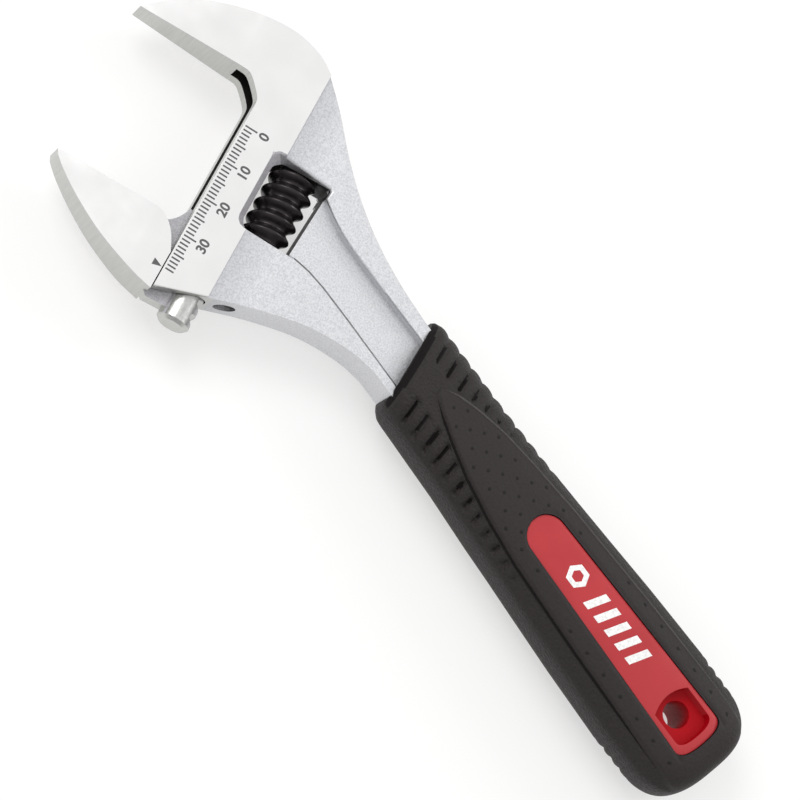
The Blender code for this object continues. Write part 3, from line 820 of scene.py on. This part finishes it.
def grip_skin(inset=0.0, detail=True):
    """Grip as a loft of rounded sections, with its grooves and pads worked into the skin."""
    power = 2.0 / SQUARENESS
    segments = 224 if detail else 96
    step = 0.45 if detail else 1.6
    stations = [GRIP_START + inset + t for t in (0.0, 0.2, 0.4, 0.6, 0.9, 1.3, 1.7)]
    x = GRIP_START + inset + 2.1
    while x < GRIP_ROUND_X:
        stations.append(x)
        x += step
    turn = 26 if detail else 12
    reach = (GRIP_END - inset - GRIP_ROUND_X) / math.sin(ROUND_TURN)
    for i in range(turn + 1):
        stations.append(GRIP_ROUND_X + reach * math.sin(ROUND_TURN * i / turn))
    rings = []
    for x in stations:
        width, depth, slant = grip_section(min(x + inset, GRIP_END) if x > GRIP_ROUND_X else x)
        width -= inset
        depth -= inset
        middle = grip_middle(x)
        ring = []
        for i in range(segments):
            a = 2 * math.pi * i / segments
            c, s = math.cos(a), math.sin(a)
            y = width * math.copysign(abs(c) ** power, c)
            z = depth * math.copysign(abs(s) ** power, s)
            if detail:
                flank = 1 if y > 0 else -1
                face = smoothstep(0.4, 0.7, abs(z) / depth)
                rise = smoothstep(66.0, 75.0, x)
                lift = (rise * (pad_lift(x, y) - PAD_STEP) - insert_roll(x, y)) * face
                sink = groove(x, y, z, width, depth, flank)
                across, up = abs(y) / width, abs(z) / depth
                reach = math.hypot(across, up)
                y -= flank * sink * across / reach
                z += math.copysign(1.0, z) * (lift - sink * up / reach)
            ring.append((x - slant * y, middle + y, z))
        rings.append(ring)
    return loft(rings)


def rounded_end(tip, half, length, steps=28):
    """Blunt rounded end of an outline, from its -Y side to its +Y side, with its tip at x = tip."""
    power = 2.0 / 2.6
    curve = []
    for i in range(steps + 1):
        a = -math.pi / 2 + math.pi * i / steps
        across = math.copysign(abs(math.sin(a)) ** power, math.sin(a))
        curve.append((tip - length + length * math.cos(a) ** power, GRIP_Y + half * across))
    return curve


def insert_outline(grow=0.0):
    """Plan of the insert: round head end, blunt far end."""
    x0, x1 = INSERT_X
    near, far = INSERT_HALF[0] + grow, INSERT_HALF[1] + grow
    outline = []
    for i in range(33):
        a = math.pi / 2 + math.pi * i / 32
        outline.append((x0 + INSERT_HALF[0] + near * math.cos(a), GRIP_Y + near * math.sin(a)))
    return outline + rounded_end(x1 + grow, far, 3.0)


SMOOTH, GRAINED, RECESS_SHADE = range(3)


def rubber_face(place):
    """Finish of a sleeve face: smooth pad, grained flank, and painted shade in the groove bottoms
    and the front collar.
    """
    x = place.x + grip_lean(place.x) * (place.y - grip_middle(place.x))
    y = place.y - grip_middle(x)
    width, depth, _ = grip_section(x)
    flank = 1 if y > 0 else -1
    beyond = abs(y) - linear(x, PAD)
    on_face = abs(place.z) > 0.5 * depth
    # painted shade: the groove bottoms and the front collar take the near-black rubber
    if groove(x, y, place.z, width, depth, flank) > 0.55 or (x < GRIP_START + 1.6 and on_face):
        return RECESS_SHADE
    return SMOOTH if beyond < 0.2 and on_face else GRAINED


def make_sleeve():
    """Soft sleeve, open round the insert and at its mouth, where the neck goes in."""
    sleeve = new_object("soft_sleeve", grip_skin(), HANDLE)
    window = new_object("insert_window", prism(insert_outline(0.15), -14.0, 14.0), HANDLE)
    boolean(sleeve, window)
    (x0, x1), (y0, y1) = MOUTH_X, MOUTH_Y
    mouth = [(x0, y0), (x1, y0), (x1, y1), (x0, y1)]
    boolean(sleeve, new_object("mouth", prism(mouth, -NECK_HALF - 0.3, NECK_HALF + 0.3), HANDLE))
    shade(sleeve, 42.0)
    sleeve.data.materials.clear()
    for material in (RUBBER, RUBBER_FLANK, RUBBER_SHADE):
        sleeve.data.materials.append(material)
    to_handle = HANDLE.inverted()
    for face in sleeve.data.polygons:
        face.material_index = rubber_face(to_handle @ face.center)
    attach(sleeve, "frame_body")
    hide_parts("grip_sleeve")


def make_pad_edges():
    """Rolled edges of the pads: a near-black tube on the -Y side as painted shade, a lighter lip on
    the +Y side as painted highlight.
    """
    # painted light: the -Y tube is a dark line of painted shade, the +Y tube a light line of painted
    # highlight
    for flank, out, sink, name, material in (
            (-1, 0.4, PAD_STEP, "pad_crease_shade", RUBBER_SHADE),
            (1, -0.3, 0.08, "pad_lip_highlight", RUBBER_HIGHLIGHT)):
        bm = bmesh.new()
        for side in (-1, 1):
            rings = []
            x = PAD[0][0] + 0.2
            while x < PAD_FADE[1]:
                width, depth, slant = grip_section(x)
                y = flank * (linear(x, PAD) + out)
                z = depth * crown(abs(y) / width)
                swell = smoothstep(0.0, 6.0, x - PAD[0][0]) * (1.0 - smoothstep(*PAD_FADE, x))
                radius = 0.26 * swell + 0.04
                ring = []
                for i in range(10):
                    a = 2 * math.pi * i / 10
                    across = y + radius * math.cos(a)
                    up = side * (z - sink + radius * math.sin(a))
                    ring.append((x - slant * across, grip_middle(x) + across, up))
                rings.append(ring)
                x += 1.0
            tube = loft(rings)
            mesh = bpy.data.meshes.new(name)
            tube.to_mesh(mesh)
            tube.free()
            bm.from_mesh(mesh)
        edge = new_object(name, bm, HANDLE)
        shade(edge, 60.0)
        edge.data.materials.append(material)
        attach(edge, "frame_body")


def make_dots():
    """Low round dots on the pad, in staggered rows round the insert."""
    bm = bmesh.new()
    size = Matrix.Diagonal((*DOT_SIZE, 1.0))
    for side in (-1, 1):
        for column in range(32):
            x = DOTS_X[0] + column * DOT_PITCH[0]
            width, depth, slant = grip_section(x)
            for row in range(-4, 5):
                y = (row + 0.5 * (column % 2)) * DOT_PITCH[1]
                off_pad = abs(y) > linear(x, PAD) - 1.5 or x > DOTS_X[1]
                if off_pad or abs(y) < insert_half(x, 1.6):
                    continue
                z = depth * crown(abs(y) / width)
                place = (x - slant * y, grip_middle(x) + y, side * (z - 0.16))
                bmesh.ops.create_icosphere(bm, subdivisions=2, radius=1.0,
                                           matrix=Matrix.Translation(place) @ size)
    dots = new_object("grip_dots", bm, HANDLE)
    shade(dots, 60.0)
    dots.data.materials.append(RUBBER_DOT)
    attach(dots, "frame_body")


BASIN_X = (160.2, 171.4)
BASIN_HALF = 5.1
BASIN_FLOOR = 6.4          # height of the basin's floor above the middle plane
# painted shade: below BASIN_DARK the basin's walls and floor take the darker, less glossy red
BASIN_DARK = 8.4           # the basin's walls are in the deeper red below this
HOLE_X = 165.0
HOLE_R = 3.2


def basin_outline(grow=0.0):
    """Basin round the hanging hole: an arc towards the head, a blunt end at the far side."""
    x0, x1 = BASIN_X[0] - grow, BASIN_X[1] + grow
    half = BASIN_HALF + grow
    bow = []
    for i in range(17):
        t = 1 - i / 8
        bow.append((x0 + 1.6 * t * t, GRIP_Y + half * t))
    return bow + rounded_end(x1, half, 2.4)


def make_core():
    """Hard insert with its basins and the hanging hole through it."""
    core = new_object("hard_insert", prism(insert_outline(), -13.0, 13.0), HANDLE)
    boolean(core, new_object("crown", grip_skin(INSERT_SINK, detail=False), HANDLE), 'INTERSECT')
    for side in (-1, 1):
        rings = []
        for grow, z in ((0.0, BASIN_FLOOR), (0.3, 12.0)):
            rings.append([(x, y, side * z) for x, y in basin_outline(grow)])
        boolean(core, new_object("basin", loft(rings), HANDLE))
    hole = turned([(-14.0, HOLE_R), (14.0, HOLE_R)], 64)
    upright = Matrix.Translation((HOLE_X, GRIP_Y, 0)) @ Matrix.Rotation(math.pi / 2, 4, 'Y')
    boolean(core, new_object("hole", hole, HANDLE @ upright))
    round_edges(core, 0.35, 3, 40.0)
    shade(core, 35.0)
    core.data.materials.clear()
    core.data.materials.append(RED)
    core.data.materials.append(RED_SHADE)
    to_handle = HANDLE.inverted()
    for face in core.data.polygons:
        place = to_handle @ face.center
        inside = (BASIN_X[0] - 0.1 < place.x < BASIN_X[1] + 0.1
                  and abs(place.y - GRIP_Y) < BASIN_HALF + 0.1)
        face.material_index = 1 if inside and abs(place.z) < BASIN_DARK else 0
    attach(core, "frame_body")
    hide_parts("grip_core")


def on_insert(x, y):
    """Height of the insert's crown at a place on it."""
    width, depth, _ = grip_section(x)
    return (depth - INSERT_SINK) * crown(abs(y - GRIP_Y) / (width - INSERT_SINK))


def print_patch(bm, corners, steps=8):
    """Four-sided printed patch that follows the insert's crown."""
    a, b, c, d = [Vector(p) for p in corners]
    rows = []
    for i in range(steps + 1):
        left, right = a.lerp(d, i / steps), b.lerp(c, i / steps)
        row = []
        for p in (left, right):
            height = on_insert(p.x, p.y)
            above = bm.verts.new((p.x, p.y, height + 0.03))
            below = bm.verts.new((p.x, p.y, height - 0.06))
            row.append((above, below))
        rows.append(row)
    for near, far in zip(rows, rows[1:]):
        bm.faces.new((near[0][0], near[1][0], far[1][0], far[0][0]))
        bm.faces.new((near[0][0], far[0][0], far[0][1], near[0][1]))
        bm.faces.new((near[1][0], near[1][1], far[1][1], far[1][0]))
    for row in (rows[0], rows[-1]):
        bm.faces.new((row[0][0], row[0][1], row[1][1], row[1][0]))


NUT_X = 126.2              # middle of the printed nut
NUT_R = (2.9, 1.5)         # its outer and inner radius
STRIPES = 5
STRIPE_X = 132.5           # first stripe
STRIPE_PITCH = 3.9
STRIPE_HALF = 2.9          # half length of a stripe, across the insert
STRIPE_WIDTH = 1.9
STRIPE_LEAN = 0.9


def make_print():
    """Plain printed sign on the front of the insert: a nut and slanted stripes, no lettering."""
    bm = bmesh.new()
    outer, inner = NUT_R
    for i in range(6):
        corners = []
        for r, k in ((outer, i), (outer, i + 1), (inner, i + 1), (inner, i)):
            a = math.pi / 3 * k
            corners.append((NUT_X + r * math.cos(a), GRIP_Y + r * math.sin(a)))
        print_patch(bm, corners, 3)
    low, high = GRIP_Y - STRIPE_HALF, GRIP_Y + STRIPE_HALF
    for stripe in range(STRIPES):
        near = STRIPE_X + stripe * STRIPE_PITCH - STRIPE_LEAN
        far = near + 2 * STRIPE_LEAN
        print_patch(bm, [(near, low), (near + STRIPE_WIDTH, low),
                         (far + STRIPE_WIDTH, high), (far, high)])
    sign = new_object("printed_sign", bm, HANDLE)
    sign.data.materials.append(WHITE)
    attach(sign, "frame_body")


# ---------------------------------------------------------------- surroundings
def plain_material(name, color, roughness):
    material = bpy.data.materials.new(name)
    material.use_nodes = True
    shader = material.node_tree.nodes["Principled BSDF"]
    shader.inputs["Base Color"].default_value = (*color, 1.0)
    shader.inputs["Roughness"].default_value = roughness
    return material


def make_floor():
    bm = bmesh.new()
    bmesh.ops.create_grid(bm, x_segments=2, y_segments=2, size=3.0)
    floor = new_object("floor", bm)
    floor.location.z = -0.0002
    pale = plain_material("pale_floor", (0.42, 0.42, 0.42), 0.8)
    shader = pale.node_tree.nodes["Principled BSDF"]
    shader.inputs["Emission Color"].default_value = (1.0, 0.995, 0.985, 1.0)
    shader.inputs["Emission Strength"].default_value = 0.55
    floor.data.materials.append(pale)


def area_light(name, place, target, size, power):
    light = bpy.data.lights.new(name, 'AREA')
    light.shape = 'RECTANGLE'
    light.size = size[0]
    light.size_y = size[1]
    light.energy = power
    obj = bpy.data.objects.new(name, light)
    bpy.context.scene.collection.objects.link(obj)
    obj.location = place
    obj.rotation_euler = (Vector(target) - Vector(place)).to_track_quat('-Z', 'Y').to_euler()


def make_light():
    """Studio tent: bright overhead, greyer towards the horizon, and one soft key."""
    world = bpy.data.worlds.new("studio")
    bpy.context.scene.world = world
    world.use_nodes = True
    tree = world.node_tree
    place = tree.nodes.new("ShaderNodeTexCoord")
    split = tree.nodes.new("ShaderNodeSeparateXYZ")
    ramp = tree.nodes.new("ShaderNodeValToRGB")
    stops = [(0.0, 0.30), (0.25, 0.42), (0.6, 0.80), (0.85, 0.97), (1.0, 1.0)]
    while len(ramp.color_ramp.elements) < len(stops):
        ramp.color_ramp.elements.new(0.5)
    for point, (height, level) in zip(ramp.color_ramp.elements, stops):
        point.position = height
        point.color = (level, level, level, 1.0)
    tree.links.new(place.outputs["Generated"], split.inputs["Vector"])
    tree.links.new(split.outputs["Z"], ramp.inputs["Fac"])
    tree.links.new(ramp.outputs["Color"], tree.nodes["Background"].inputs["Color"])
    tree.nodes["Background"].inputs["Strength"].default_value = 0.95
    area_light("key", (-0.7, 0.1, 0.8), (0, 0, 0), (0.5, 0.5), 4.0)
    area_light("rim", (0.35, 0.9, 0.55), (0, 0, 0), (0.5, 0.4), 3.0)
    bpy.context.scene.view_settings.view_transform = 'Standard'


CAMERA_AIM = (70.355, -10.030)   # it looks at this place, level with the head's front face, in mm
CAMERA_DISTANCE = 999.18   # mm
CAMERA_TILT = 22.336       # degrees from looking straight down
CAMERA_BEARING = -6.366    # degrees about Z, from standing at -Y
CAMERA_ROLL = 58.954       # degrees about its own line of sight
CAMERA_LENS = 199.86       # mm, on a sensor 36 mm wide


def make_camera():
    """Camera far off, leaning towards -Y and rolled, so that the wrench lies diagonally."""
    data = bpy.data.cameras.new("camera")
    data.lens = CAMERA_LENS
    data.sensor_width = 36.0
    data.clip_start = 0.05
    camera = bpy.data.objects.new("camera", data)
    bpy.context.scene.collection.objects.link(camera)
    aim = ORIGIN + Vector((*CAMERA_AIM, HEAD_HALF)) * MM
    bearing, tilt, roll = (Matrix.Rotation(math.radians(angle), 4, axis) for angle, axis in (
        (CAMERA_BEARING, 'Z'), (CAMERA_TILT, 'X'), (CAMERA_ROLL, 'Z')))
    back = Matrix.Translation((0, 0, CAMERA_DISTANCE * MM))
    camera.matrix_world = Matrix.Translation(aim) @ bearing @ tilt @ roll @ back
    bpy.context.scene.camera = camera


make_camera()
make_floor()
make_light()
make_frame()
make_jaw()
make_scale()
make_worm()
make_small_parts()
make_sleeve()
make_pad_edges()
make_dots()
make_core()
make_print()

bpy.context.view_layer.update()
